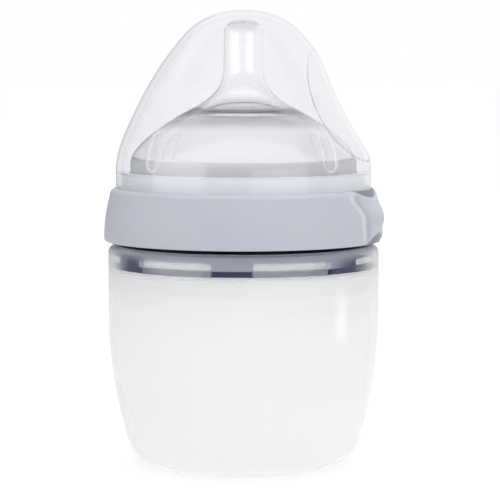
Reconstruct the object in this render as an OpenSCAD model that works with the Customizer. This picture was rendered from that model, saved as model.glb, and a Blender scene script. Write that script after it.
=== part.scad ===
// Wide-neck silicone baby bottle: soft cup, overmoulded neck ring, screw collar, nipple and travel cap.
// Millimetres, Z up. The origin is the centre of the foot, and the grip lug and the cap's scoop face +X.

/* [Show] */
// Piece to make, or all of them
// Steps round each curved piece in the preview
$fn = 72; // [24:12:144]

/* [Bottle body] */
// Outer radius of the straight upper wall
body_radius = 40.35; // [30:0.05:50]
// Height of the body's flat top, under the collar
body_top = 65.7; // [45:0.1:90]
// Radius of the rounded outer shoulder
shoulder_round = 2.4; // [0.5:0.1:4]
// Radius of the flat ring that the bottle stands on
foot_radius = 25.8; // [15:0.1:30]
// Radius of the rounding between foot and wall
heel_round = 9; // [4:0.5:14]
// Angle of the wall from upright, where it leaves the heel
heel_flare = 17.5; // [0:0.1:30]
// Height at which the wall has become upright
wall_upright_from = 47; // [25:1:55]
// Depth of the shallow recess under the foot
foot_recess = 0.8; // [0:0.1:2]
// Radius of that recess
foot_recess_radius = 19; // [5:0.5:24]
// Thickness of the floor over the recess
floor_thickness = 3.6; // [2:0.1:6]
// Thickness of the silicone wall
wall = 2.8; // [1.5:0.1:5]

/* [Neck ring] */
// Inner radius of the threaded neck
neck_inner = 33.2; // [25:0.1:40]
// Outer radius of the neck at the root of its thread
neck_outer = 35; // [26:0.1:42]
// Height of the land that the nipple's flange rests on
neck_top = 78.6; // [70:0.1:95]
// Outer radius of the skirt buried in the silicone
skirt_radius = 38.2; // [35:0.1:40]
// Thickness of that skirt
skirt_thickness = 1.8; // [1:0.1:3]
// Height of the skirt's lower edge
skirt_bottom = 59.3; // [50:0.1:64]
// Radius of the flange that closes the top of the silicone
flange_radius = 37.4; // [35:0.1:39]
// Thickness of the web between skirt and neck
web_thickness = 1.4; // [0.8:0.1:3]
// Silicone lining inside the skirt: how far it stays behind the neck's bore
lining_step = 0.2; // [0.1:0.05:0.6]

/* [Interlock windows] */
// Number of windows round the skirt
window_count = 7; // [4:1:12]
// Arc of solid skirt left between two windows, in degrees
tab_arc = 17.3; // [8:0.1:40]
// Direction of the middle of one tab, in degrees from +X
tab_direction = -80.7; // [-180:0.1:180]
// Height of the windows' lower edge
window_bottom = 61.2; // [59:0.1:63]
// Height of the windows' upper edge
window_top = 63.1; // [62:0.1:65]
// Radius of the windows' corners
window_corner = 0.9; // [0.2:0.1:1.4]
// Width of the shallow pocket at the foot of each tab
pocket_width = 11.5; // [4:0.5:14]
// Depth of that pocket
pocket_depth = 0.9; // [0.3:0.1:1.4]
// Height of the pocket's upper edge
pocket_top = 60.9; // [59.5:0.1:61.1]

/* [Collar] */
// Height of the collar's lower edge
collar_bottom = 66.9; // [60:0.1:80]
// Height of the shoulder that the cap rests on
collar_top = 82.5; // [75:0.1:95]
// Largest outer radius, near the lower edge
collar_radius = 41.52; // [35:0.02:50]
// Outer radius just under the rounded upper edge
collar_upper_radius = 39.75; // [34:0.05:48]
// Radius of the rounded upper edge
collar_edge_round = 1.85; // [0.5:0.05:3]
// Radius of the bore, at the root of its thread
collar_bore = 37.2; // [30:0.1:42]
// Thickness of the plate that clamps the nipple
plate_thickness = 2.5; // [1:0.1:4]
// Radius of the opening that the nipple comes through
opening_radius = 34; // [25:0.1:38]
// Outer radius of the raised rim that locates the cap
spigot_radius = 36.1; // [30:0.1:40]
// Height of the top of that rim
spigot_top = 87.2; // [83:0.1:95]

/* [Grip lug] */
// Furthest reach of the lug from the bottle's axis
lug_reach = 42.1; // [41:0.05:48]
// Height of the lug's crest
lug_height = 73.8; // [68:0.1:80]
// Radius of the lug's rounded section, seen from the side
lug_round = 7; // [4:0.1:9]
// Radius of the lug seen from above
lug_sweep = 28; // [15:0.5:36]
// Radius down to which the scallop above the lug is cut
scallop_floor = 38.5; // [38:0.05:40]
// Radius down to which the scallop below the lug is cut
lower_floor = 40.7; // [38:0.05:41.2]
// Radius of the scallop above the lug
upper_scallop = 40; // [8:0.5:60]
// Lowest point of that scallop
upper_scallop_bottom = 79.6; // [74:0.1:82]
// Radius of the scallop below the lug
lower_scallop = 26; // [8:0.5:60]
// Highest point of that scallop
lower_scallop_top = 70.2; // [67:0.1:73]

/* [Nipple] */
// Height of the teat's tip
teat_top = 132; // [110:0.1:134]
// Radius of the teat at its foot
teat_radius = 5.95; // [4:0.05:9]
// Radius of the teat just under its rounded tip
teat_tip_radius = 5.7; // [3:0.05:9]
// Radius of the rounding at the tip
teat_round = 3.6; // [1:0.1:5]
// Height at which the teat starts to flare
teat_foot = 116.5; // [105:0.1:125]
// Radius of the milk hole in the tip
milk_hole = 0.45; // [0.2:0.05:1.5]
// Thickness of the teat's wall
teat_wall = 1.6; // [0.8:0.1:3]
// Radius at which the flare turns into the shoulder
flare_end_radius = 17; // [10:0.5:25]
// Height of that turn
flare_end = 105.2; // [98:0.1:112]
// Largest radius of the breast-shaped base
base_radius = 33.65; // [28:0.05:38]
// Height at which it reaches that radius
base_height = 89.5; // [85:0.1:98]
// Radius of the skirt inside the collar's opening
nipple_skirt = 33.65; // [25:0.05:38]
// Thickness of the base's wall
base_wall = 1.75; // [1:0.05:3]
// Outer radius of the clamped flange
flange_reach = 36.4; // [34:0.1:40]
// Radius inside the base at which its wall starts to thicken towards the step
thicken_radius = 20; // [15:0.5:26]
// Height of the inside there
thicken_height = 101.4; // [98:0.1:103]
// Radius of the step inside, round the foot of the teat
inner_step = 13.8; // [8:0.1:20]
// Height of that step's upper side
inner_step_top = 104.9; // [100:0.1:106]
// Height of that step's lower side
inner_step_bottom = 104.3; // [100:0.1:105]
// Radius of the vent hole through the shoulder
vent_hole = 0.6; // [0.2:0.1:1.5]
// Distance of the vent hole from the axis, on the side away from the lug
vent_distance = 24; // [15:0.5:30]

/* [Cap] */
// Height of the top of the dome
cap_top = 135; // [110:0.1:160]
// Outer radius of the rim
cap_radius = 37.95; // [30:0.05:45]
// Height up to which the rim is upright
rim_upright_to = 87; // [83:0.1:95]
// Thickness of the cap's wall
cap_wall = 1.5; // [0.8:0.1:3]
// Radius of the scoop that flattens the side over the lug
scoop_radius = 50; // [20:0.5:90]
// Distance of the scoop's centre from the axis
scoop_distance = 71.1; // [40:0.1:120]
// Height of the scoop's centre
scoop_height = 127.9; // [90:0.5:150]
// Thickness of the wall behind the scoop
scoop_wall = 1.1; // [0.8:0.1:3]

/* [Hidden] */

// Small overlap that lets a cutter pass clear of the face it cuts
clear = 1;
// Steps along a free curve and along a rounded edge
curve_steps = 9;
round_steps = 5;

window_pitch = 360 / window_count;
window_width = 2 * skirt_radius * sin((window_pitch - tab_arc) / 2);
skirt_inner = skirt_radius - skirt_thickness;
lining_inner = neck_inner + lining_step;
flange_top = body_top + 0.3;
web_bottom = flange_top - web_thickness;
plate_bottom = collar_top - plate_thickness;
collar_edge_height = collar_top - collar_edge_round;
teat_inner = teat_radius - teat_wall;
base_inner = base_radius - base_wall;
skirt_bore = nipple_skirt - base_wall;
lug_ring = lug_sweep - lug_round;
lug_centre = lug_reach - lug_sweep;

silicone_milky = [0.93, 0.94, 0.95, 0.85];
moulded_grey = [0.74, 0.76, 0.79];
silicone_clear = [0.90, 0.92, 0.94, 0.55];
plastic_clear = [0.93, 0.95, 0.97, 0.35];

// Points of a cubic curve from p to s, pulled towards q and r
function curve(p, q, r, s, n = curve_steps, skip = 0) =
    [for (i = [skip : n]) let (t = i / n, u = 1 - t)
        u * u * u * p + 3 * u * u * t * q + 3 * u * t * t * r + t * t * t * s];

// Points of an arc round c, from angle a to angle b
function arc(c, radius, a, b, n = round_steps) =
    [for (i = [0 : n]) let (t = a + (b - a) * i / n) c + radius * [cos(t), sin(t)]];

// Outer wall of the cup, from the heel up to the flat top
heel_centre = [foot_radius, heel_round];
heel_end = heel_centre + heel_round * [cos(heel_flare), -sin(heel_flare)];
wall_start_pull = 12;
wall_end_pull = 16;

module body_profile() {
    inner_heel = heel_round - wall;
    floor_height = foot_recess + floor_thickness;
    lining_bottom = skirt_bottom - 1.4;
    narrowing_bottom = lining_bottom - 4.5;
    inner_start = [heel_end[0] - wall + 0.2, floor_height + inner_heel - 1.2];
    polygon(concat(
        [[0, foot_recess], [foot_recess_radius, foot_recess], [foot_recess_radius + 1.2, 0]],
        arc(heel_centre, heel_round, -90, -heel_flare),
        curve(heel_end, heel_end + wall_start_pull * [sin(heel_flare), cos(heel_flare)],
            [body_radius, wall_upright_from - wall_end_pull], [body_radius, wall_upright_from],
            curve_steps, 1),
        arc([body_radius - shoulder_round, body_top - shoulder_round], shoulder_round, 0, 90),
        [[lining_inner, body_top], [lining_inner, lining_bottom]],
        curve([body_radius - wall, narrowing_bottom], [body_radius - wall, narrowing_bottom - 10],
            inner_start + [3.2, 12], inner_start, curve_steps),
        arc([inner_start[0] - inner_heel, inner_start[1]], inner_heel, -15, -90),
        [[0, floor_height]]));
}

// Rounded window outline, seen along the radius
module window_outline(width, bottom, top, corner) {
    half = width / 2;
    polygon(concat(
        arc([half - corner, top - corner], corner, 0, 90, 3),
        arc([corner - half, top - corner], corner, 90, 180, 3),
        arc([corner - half, bottom + corner], corner, 180, 270, 3),
        arc([half - corner, bottom + corner], corner, 270, 360, 3)));
}

module ring_solid() {
    relief = 0.5;
    difference() {
        rotate_extrude() polygon([
            [neck_inner, web_bottom], [skirt_inner, web_bottom], [skirt_inner, skirt_bottom],
            [skirt_radius, skirt_bottom], [skirt_radius, flange_top - web_thickness],
            [flange_radius, flange_top - relief], [flange_radius, flange_top],
            [neck_outer, flange_top], [neck_outer, neck_top - relief],
            [neck_outer - relief, neck_top], [neck_inner + relief, neck_top],
            [neck_inner, neck_top - relief]]);
        // Windows that the silicone flows through, so that it can't peel off the ring
        for (i = [0 : window_count - 1])
            rotate([0, 0, tab_direction + (i + 0.5) * window_pitch])
                translate([skirt_inner - 6, 0, 0]) rotate([90, 0, 90]) linear_extrude(12)
                    window_outline(window_width, window_bottom, window_top, window_corner);
        // Keying pockets across the foot of each tab
        for (i = [0 : window_count - 1])
            rotate([0, 0, tab_direction + i * window_pitch])
                translate([skirt_radius - pocket_depth, -pocket_width / 2, skirt_bottom - clear])
                    cube([pocket_depth + clear, pocket_width, pocket_top - skirt_bottom + clear]);
    }
}

module neck_ring() color(moulded_grey) ring_solid();

// The soft cup is moulded round the ring: it fills the windows and covers the skirt on both sides
module bottle_body() color(silicone_milky)
    difference() {
        rotate_extrude() body_profile();
        ring_solid();
    }

module collar_profile() {
    foot_round = 0.7;
    lead_in = 0.8;
    rim_round = 0.5;
    polygon(concat(
        [[collar_bore, plate_bottom], [collar_bore, collar_bottom + lead_in],
            [collar_bore + lead_in, collar_bottom]],
        arc([collar_radius - foot_round, collar_bottom + foot_round], foot_round, -90, 0, 3),
        curve([collar_radius, collar_bottom + 1.2], [collar_radius, collar_bottom + 6.2],
            [collar_upper_radius + 0.95, collar_edge_height - 3.8],
            [collar_upper_radius, collar_edge_height], 8, 1),
        arc([collar_upper_radius - collar_edge_round, collar_edge_height], collar_edge_round,
            14, 90, 4),
        [[spigot_radius, collar_top]],
        arc([spigot_radius - rim_round, spigot_top - rim_round], rim_round, 0, 90, 3),
        arc([opening_radius + rim_round, spigot_top - rim_round], rim_round, 90, 180, 3),
        [[opening_radius, plate_bottom]]));
}

// Stops the bottle rolling, and shows which side the cap's scoop goes. Its root stays in the collar's wall
module grip_lug() {
    difference() {
        intersection() {
            translate([lug_centre, 0, lug_height]) rotate_extrude()
                translate([lug_ring, 0]) circle(r = lug_round);
            translate([lug_centre + lug_ring / 2, -lug_sweep, collar_bottom + 0.4])
                cube([lug_sweep, 2 * lug_sweep, collar_top - collar_bottom - 1.2]);
        }
        translate([0, 0, collar_bottom - clear])
            cylinder(r = (collar_bore + scallop_floor) / 2, h = collar_top - collar_bottom + 2 * clear);
    }
}

module scallop(radius, height, floor_radius) {
    difference() {
        translate([lug_ring, 0, height]) rotate([0, 90, 0]) cylinder(r = radius, h = 30);
        translate([0, 0, collar_bottom - clear])
            cylinder(r = floor_radius, h = collar_top - collar_bottom + 2 * clear);
    }
}

module collar() color(moulded_grey)
    union() {
        difference() {
            rotate_extrude() collar_profile();
            scallop(upper_scallop, upper_scallop_bottom + upper_scallop, scallop_floor);
            scallop(lower_scallop, lower_scallop_top - lower_scallop, lower_floor);
        }
        grip_lug();
    }

module nipple_profile() {
    flange_bottom = neck_top;
    flange_top = plate_bottom;
    tip_inside = teat_top - 1.5;
    flare_pull = [0.55, 5.5];
    shoulder_pull = [5.5, 3.2];
    wall_pull = [6.07, -3.72];
    thicken_pull = [-2.6, 1.56];
    thicken_point = [thicken_radius, thicken_height];
    polygon(concat(
        [[milk_hole, teat_top]],
        arc([teat_tip_radius - teat_round, teat_top - teat_round], teat_round, 90, 0),
        curve([teat_radius, teat_foot], [teat_radius + flare_pull[0], teat_foot - flare_pull[1]],
            [flare_end_radius - 6.5, flare_end + 3.2], [flare_end_radius, flare_end]),
        curve([flare_end_radius, flare_end],
            [flare_end_radius + shoulder_pull[0], flare_end - shoulder_pull[1]],
            [base_radius, base_height + 6.1], [base_radius, base_height], 12, 1),
        [[nipple_skirt, base_height - 1.9], [nipple_skirt, flange_top],
            [flange_reach, flange_top], [flange_reach, flange_bottom],
            [skirt_bore, flange_bottom], [skirt_bore, base_height - 1.2]],
        curve([base_inner, base_height], [base_inner, base_height + 3.6],
            thicken_point + wall_pull, thicken_point, 10),
        curve(thicken_point, thicken_point + thicken_pull, [inner_step + 1.6, inner_step_bottom - 0.3],
            [inner_step, inner_step_bottom], 4, 1),
        curve([inner_step - 0.1, inner_step_top], [inner_step - 2.8, inner_step_top + 1.5],
            [teat_inner + 0.65, teat_foot - 6.1], [teat_inner, teat_foot], 8),
        arc([teat_inner - 2.4, tip_inside - 2.4], 2.4, 0, 90, 4),
        [[milk_hole, tip_inside]]));
}

module nipple() color(silicone_clear)
    difference() {
        rotate_extrude() nipple_profile();
        translate([-vent_distance, 0, base_height]) cylinder(r = vent_hole, h = 20, $fn = 16);
    }

// Half outline of the dome, moved in by the wall thickness for the inside
module dome_profile(inset, bottom) {
    side = cap_radius - inset;
    top = cap_top - inset;
    crown = [17.2 - 0.4 * inset, 128.2 - 0.9 * inset];
    waist = [31.2 - 0.9 * inset, 107.2 - 0.45 * inset];
    polygon(concat(
        [[0, bottom], [side, bottom]],
        curve([side, rim_upright_to], [side, rim_upright_to + 7], waist + [3.7, -7.6], waist, 8),
        curve(waist, waist + [-4.6, 9.4], crown + [4.4, -5], crown, 6, 1),
        curve(crown, crown + [-4.4, 5], [6.5, top], [0, top], 7, 1)));
}

module scoop(radius) {
    translate([scoop_distance, 0, scoop_height]) rotate([90, 0, 0])
        cylinder(r = radius, h = 3 * cap_radius, center = true, $fn = 2 * $fn);
}

// Clear dome: inside and outside are both scooped, so that the wall stays even
module cap() color(plastic_clear)
    difference() {
        difference() {
            rotate_extrude() dome_profile(0, collar_top);
            scoop(scoop_radius);
        }
        difference() {
            rotate_extrude() dome_profile(cap_wall, collar_top - clear);
            scoop(scoop_radius + scoop_wall);
        }
    }

bottle_body();
neck_ring();
nipple();
collar();
cap();
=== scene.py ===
import math

import bpy
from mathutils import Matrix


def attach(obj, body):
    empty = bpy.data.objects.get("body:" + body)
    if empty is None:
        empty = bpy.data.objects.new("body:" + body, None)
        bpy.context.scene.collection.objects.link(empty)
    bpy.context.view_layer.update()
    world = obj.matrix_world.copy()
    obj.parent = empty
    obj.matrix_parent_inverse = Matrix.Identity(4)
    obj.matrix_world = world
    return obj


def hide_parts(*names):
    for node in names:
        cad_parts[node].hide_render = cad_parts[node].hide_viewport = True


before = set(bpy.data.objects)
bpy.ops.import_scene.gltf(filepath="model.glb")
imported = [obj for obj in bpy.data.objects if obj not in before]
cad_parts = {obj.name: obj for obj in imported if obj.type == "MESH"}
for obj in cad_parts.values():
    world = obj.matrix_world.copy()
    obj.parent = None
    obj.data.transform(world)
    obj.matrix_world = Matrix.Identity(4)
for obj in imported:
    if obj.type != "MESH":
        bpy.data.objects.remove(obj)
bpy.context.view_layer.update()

mm = 0.001
print("frame loaded:", ", ".join(sorted(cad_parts)))


def hexToLinear(code):
    values = [int(code[i:i + 2], 16) / 255 for i in (1, 3, 5)]
    return [v / 12.92 if v <= 0.04045 else ((v + 0.055) / 1.055) ** 2.4 for v in values] + [1.0]


def addNode(tree, kind, settings=None, values=None, links=None):
    node = tree.nodes.new(kind)
    for key, value in (settings or {}).items():
        setattr(node, key, value)
    for key, value in (values or {}).items():
        node.inputs[key].default_value = value
    for key, source in (links or {}).items():
        tree.links.new(source, node.inputs[key])
    return node


# Settings that many nodes share
smooth, colours = {"interpolation_type": "SMOOTHSTEP"}, {"data_type": "RGBA"}
larger, product = {"operation": "MAXIMUM"}, {"operation": "MULTIPLY"}


def newMaterial(name):
    material = bpy.data.materials.new(name)
    material.use_nodes = True
    material.node_tree.nodes.clear()
    return material, material.node_tree


def curvePoints(p, q, r, s, steps, skip=0):
    points = []
    for i in range(skip, steps + 1):
        t = i / steps
        u = 1 - t
        points.append(tuple(u ** 3 * a + 3 * u * u * t * b + 3 * u * t * t * c + t ** 3 * d
                            for a, b, c, d in zip(p, q, r, s)))
    return points


# A curve's handle, one pull away from its end
def pulled(point, pull, way=1):
    return point[0] + way * pull[0], point[1] + way * pull[1]


def arcPoints(centre, radius, start, end, steps):
    points = []
    for i in range(steps + 1):
        a = math.radians(start + (end - start) * i / steps)
        points.append((centre[0] + radius * math.cos(a), centre[1] + radius * math.sin(a)))
    return points


def linePoints(p, q, steps):
    return [(p[0] + (q[0] - p[0]) * i / steps, p[1] + (q[1] - p[1]) * i / steps) for i in range(1, steps)]


def ease(t):
    t = max(0, min(1, t))
    return t * t * (3 - 2 * t)


def linkedMesh(name, vertices, faces, materials, sharpAngle):
    mesh = bpy.data.meshes.new(name)
    mesh.from_pydata(vertices, [], faces)
    mesh.shade_smooth()
    mesh.set_sharp_from_angle(angle=math.radians(sharpAngle))
    for material in materials:
        mesh.materials.append(material)
    piece = bpy.data.objects.new(name, mesh)
    bpy.context.collection.objects.link(piece)
    return piece


# Spins an outline of (radius, height) in mm about the bottle's axis.
# reach(r, z, angle) may change a point's radius.
def spunMesh(name, outline, steps, materials, reach=None, closed=True):
    vertices, rings = [], []
    for r, z in outline:
        if r < 1e-6:
            rings.append([len(vertices)] * steps)
            vertices.append((0, 0, z * mm))
            continue
        ring = []
        for k in range(steps):
            a = 2 * math.pi * k / steps
            radius = reach(r, z, a) if reach else r
            ring.append(len(vertices))
            vertices.append((radius * mm * math.cos(a), radius * mm * math.sin(a), z * mm))
        rings.append(ring)
    faces = []
    pairs = list(zip(rings, rings[1:])) + ([(rings[-1], rings[0])] if closed else [])
    for low, high in pairs:
        for k in range(steps):
            j = (k + 1) % steps
            corners = []
            for v in (low[k], low[j], high[j], high[k]):
                if v not in corners:
                    corners.append(v)
            if len(corners) > 2:
                faces.append(corners)
    return linkedMesh(name, vertices, faces, materials, sharpAngle=38)


# Sweeps a ridge along a helix. It runs out to nothing at both ends, as a moulded thread does.
def threadMesh(name, root, crest, turns, startHeight, form, materials):
    stepAngle = 4
    runOut = form["runOut"]
    count = int(turns * 360 / stepAngle)
    vertices, faces = [], []
    for i in range(count + 1):
        turned = i * stepAngle
        fade = ease(min(turned, count * stepAngle - turned) / runOut)
        height = startHeight + form["lead"] * turned / 360
        inside = root - (crest - root) * form["sink"]  # the root sinks a little into its wall
        tip = root + (crest - root) * fade
        base, top = form["baseWidth"] / 2, form["crestWidth"] / 2
        a = math.radians(form["angle"] + turned)
        for radius, dz in ((inside, -base), (inside, base), (tip, top), (tip, -top)):
            vertices.append((radius * mm * math.cos(a), radius * mm * math.sin(a), (height + dz) * mm))
        if i:
            for k in range(4):
                j = (k + 1) % 4
                p = 4 * i
                faces.append((p - 4 + k, p - 4 + j, p + j, p + k))
    faces.append((3, 2, 1, 0))
    faces.append(tuple(4 * count + k for k in range(4)))
    return linkedMesh(name, vertices, faces, materials, sharpAngle=30)


def softMin(a, b, blend):
    h = max(0, min(1, 0.5 + 0.5 * (b - a) / blend))
    return b * (1 - h) + a * h - blend * h * (1 - h)


def softMax(a, b, blend):
    return -softMin(-a, -b, blend)


# Where a point lies on its piece, whole and as X, Y and Z
def addPlace(tree):
    where = addNode(tree, "ShaderNodeTexCoord")
    return where, addNode(tree, "ShaderNodeSeparateXYZ", links={"Vector": where.outputs["Object"]})


# How far a point is from the middle of the nearest of a ring of evenly spaced places, in radians
def angleAway(tree, split, count, direction):
    angle = addNode(tree, "ShaderNodeMath", settings={"operation": "ARCTAN2"},
                    links={0: split.outputs["Y"], 1: split.outputs["X"]})
    pitch = 2 * math.pi / count
    turned = addNode(tree, "ShaderNodeMath", settings={"operation": "SUBTRACT"},
                     values={1: math.radians(direction) - pitch / 2 - 4 * math.pi},
                     links={0: angle.outputs[0]})  # two turns on, so that it is never negative
    wrapped = addNode(tree, "ShaderNodeMath", settings={"operation": "MODULO"}, values={1: pitch},
                      links={0: turned.outputs[0]})
    centred = addNode(tree, "ShaderNodeMath", settings={"operation": "SUBTRACT"}, values={1: pitch / 2},
                      links={0: wrapped.outputs[0]})
    return addNode(tree, "ShaderNodeMath", settings={"operation": "ABSOLUTE"}, links={0: centred.outputs[0]})


# 1 inside a patch that is arc degrees wide and lies between two heights in mm, 0 outside, with soft edges
def patchMask(tree, split, away, arc, low, high, softArc, softHeight):
    inArc = addNode(tree, "ShaderNodeMapRange", settings=smooth,
                    values={"From Min": math.radians(arc / 2 + softArc),
                            "From Max": math.radians(arc / 2 - softArc)},
                    links={"Value": away.outputs[0]})
    below = addNode(tree, "ShaderNodeMapRange", settings=smooth,
                    values={"From Min": (high + softHeight) * mm, "From Max": (high - softHeight) * mm},
                    links={"Value": split.outputs["Z"]})
    above = addNode(tree, "ShaderNodeMapRange", settings=smooth,
                    values={"From Min": (low - softHeight) * mm, "From Max": (low + softHeight) * mm},
                    links={"Value": split.outputs["Z"]})
    both = addNode(tree, "ShaderNodeMath", settings=product,
                   links={0: inArc.outputs["Result"], 1: below.outputs["Result"]})
    return addNode(tree, "ShaderNodeMath", settings=product,
                   links={0: both.outputs[0], 1: above.outputs["Result"]})


# Platinum silicone. Clear depth under a milky veil: what lies just under the skin shows, and the far side
# doesn't. The veil thins out above thinAbove, where the wall is only a skin over the neck ring, except over
# its windows.
def makeSilicone(name, look):
    material, tree = newMaterial(name)
    where, split = addPlace(tree)
    grain = addNode(tree, "ShaderNodeTexNoise",
                    values={"Scale": 1 / (look["grain"] * mm), "Detail": 3, "Roughness": 0.5},
                    links={"Vector": where.outputs["Object"]})
    bump = addNode(tree, "ShaderNodeBump", values={"Strength": 0.25, "Distance": look["grainDepth"] * mm},
                   links={"Height": grain.outputs["Fac"]})
    white = hexToLinear(look["colour"])
    clear = addNode(tree, "ShaderNodeBsdfPrincipled",
                    values={"Base Color": white, "Roughness": look["roughness"], "IOR": 1.41,
                            "Transmission Weight": 1.0},
                    links={"Normal": bump.outputs["Normal"]})
    lampsThrough = addNode(tree, "ShaderNodeBsdfTransparent", values={"Color": hexToLinear(look["lamps"])})
    rays = addNode(tree, "ShaderNodeLightPath")
    clear = addNode(tree, "ShaderNodeMixShader",
                    links={"Fac": rays.outputs["Is Shadow Ray"], 1: clear.outputs["BSDF"],
                           2: lampsThrough.outputs["BSDF"]})
    front = addNode(tree, "ShaderNodeBsdfDiffuse", values={"Color": white})
    through = addNode(tree, "ShaderNodeBsdfTranslucent", values={"Color": white})
    cloud = addNode(tree, "ShaderNodeMixShader", values={"Fac": look["through"]},
                    links={1: front.outputs["BSDF"], 2: through.outputs["BSDF"]})
    deep = addNode(tree, "ShaderNodeMapRange", settings=smooth,
                   values={"From Min": (look["thinAbove"] - look["underRingFrom"]) * mm,
                           "From Max": (look["thinAbove"] - look["underRingTo"]) * mm,
                           "To Min": look["milk"], "To Max": look["milk"] * look["underRing"]},
                   links={"Value": split.outputs["Z"]})
    skin = addNode(tree, "ShaderNodeMapRange", settings=smooth,
                   values={"From Min": (look["thinAbove"] - look["thinFrom"]) * mm,
                           "From Max": (look["thinAbove"] + look["thinTo"]) * mm,
                           "To Max": look["milk"] * look["thin"]},
                   links={"Value": split.outputs["Z"], "To Min": deep.outputs["Result"]})
    pitch = 360 / interlock["windows"]
    away = angleAway(tree, split, interlock["windows"], interlock["tabDirection"] + pitch / 2)
    window = patchMask(tree, split, away, pitch - interlock["tabArc"], interlock["windowLow"],
                       interlock["windowHigh"], look["windowSoftArc"], look["windowSoftHeight"])
    turn = addNode(tree, "ShaderNodeLayerWeight", values={"Blend": 0.5})
    windowMilk = addNode(tree, "ShaderNodeMapRange", settings=smooth,
                         values={"From Min": look["windowTurnFrom"], "From Max": look["windowTurnTo"],
                                 "To Min": look["milk"] * look["window"],
                                 "To Max": look["milk"] * look["window"] * look["windowEdge"]},
                         links={"Value": turn.outputs["Facing"]})  # a window seen edge on is hardly open
    amount = addNode(tree, "ShaderNodeMath", settings={"operation": "MULTIPLY_ADD"},
                     links={0: window.outputs[0], 1: windowMilk.outputs["Result"], 2: skin.outputs["Result"]})
    edge = addNode(tree, "ShaderNodeMapRange", settings=smooth,
                   values={"From Min": look["edgeTurnFrom"], "From Max": look["edgeTurnTo"],
                           "To Max": look["edge"]},
                   links={"Value": turn.outputs["Facing"]})  # milkier where you look along the wall
    amount = addNode(tree, "ShaderNodeMath", settings=larger,
                     links={0: amount.outputs[0], 1: edge.outputs["Result"]})
    mix = addNode(tree, "ShaderNodeMixShader",
                  links={"Fac": amount.outputs[0], 1: clear.outputs["Shader"], 2: cloud.outputs["Shader"]})
    addNode(tree, "ShaderNodeOutputMaterial", links={"Surface": mix.outputs["Shader"]})
    return material


# Clear silicone: bright bent outlines, a matt skirt, and a thin film at the tip and round the step inside
# that you see straight through. Lamps pass it, so that what it covers is lit as behind a thin polished wall.
def makeClearSilicone(name, look):
    material, tree = newMaterial(name)
    split = addPlace(tree)[1]
    finish = addNode(tree, "ShaderNodeMapRange", settings=smooth,
                     values={"From Min": look["mattBelow"] * mm, "From Max": look["polishedAbove"] * mm,
                             "To Min": look["mattRoughness"], "To Max": look["roughness"]},
                     links={"Value": split.outputs["Z"]})
    shader = addNode(tree, "ShaderNodeBsdfPrincipled",
                     values={"Base Color": hexToLinear(look["colour"]), "IOR": 1.41,
                             "Transmission Weight": 1.0},
                     links={"Roughness": finish.outputs["Result"]})
    through = addNode(tree, "ShaderNodeBsdfTransparent", values={"Color": hexToLinear(look["lamps"])})
    rays = addNode(tree, "ShaderNodeLightPath")
    tip = addNode(tree, "ShaderNodeMapRange", settings=smooth,
                  values={"From Min": look["tipFrom"] * mm, "From Max": look["tipFull"] * mm,
                          "To Max": look["tipFilm"]}, links={"Value": split.outputs["Z"]})
    fromStep = addNode(tree, "ShaderNodeMath", settings={"operation": "SUBTRACT"},
                       values={1: look["stepHeight"] * mm}, links={0: split.outputs["Z"]})
    fromStep = addNode(tree, "ShaderNodeMath", settings={"operation": "ABSOLUTE"},
                       links={0: fromStep.outputs[0]})
    step = addNode(tree, "ShaderNodeMapRange", settings=smooth,
                   values={"From Min": look["stepReach"] * mm, "From Max": look["stepCore"] * mm,
                           "To Max": look["stepFilm"]}, links={"Value": fromStep.outputs[0]})
    straight = addNode(tree, "ShaderNodeMath", settings=larger,
                       links={0: tip.outputs["Result"], 1: step.outputs["Result"]})
    amount = addNode(tree, "ShaderNodeMath", settings=larger,
                     links={0: rays.outputs["Is Shadow Ray"], 1: straight.outputs[0]})
    mix = addNode(tree, "ShaderNodeMixShader",
                  links={"Fac": amount.outputs[0], 1: shader.outputs["BSDF"], 2: through.outputs["BSDF"]})
    addNode(tree, "ShaderNodeOutputMaterial", links={"Surface": mix.outputs["Shader"]})
    return material


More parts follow.
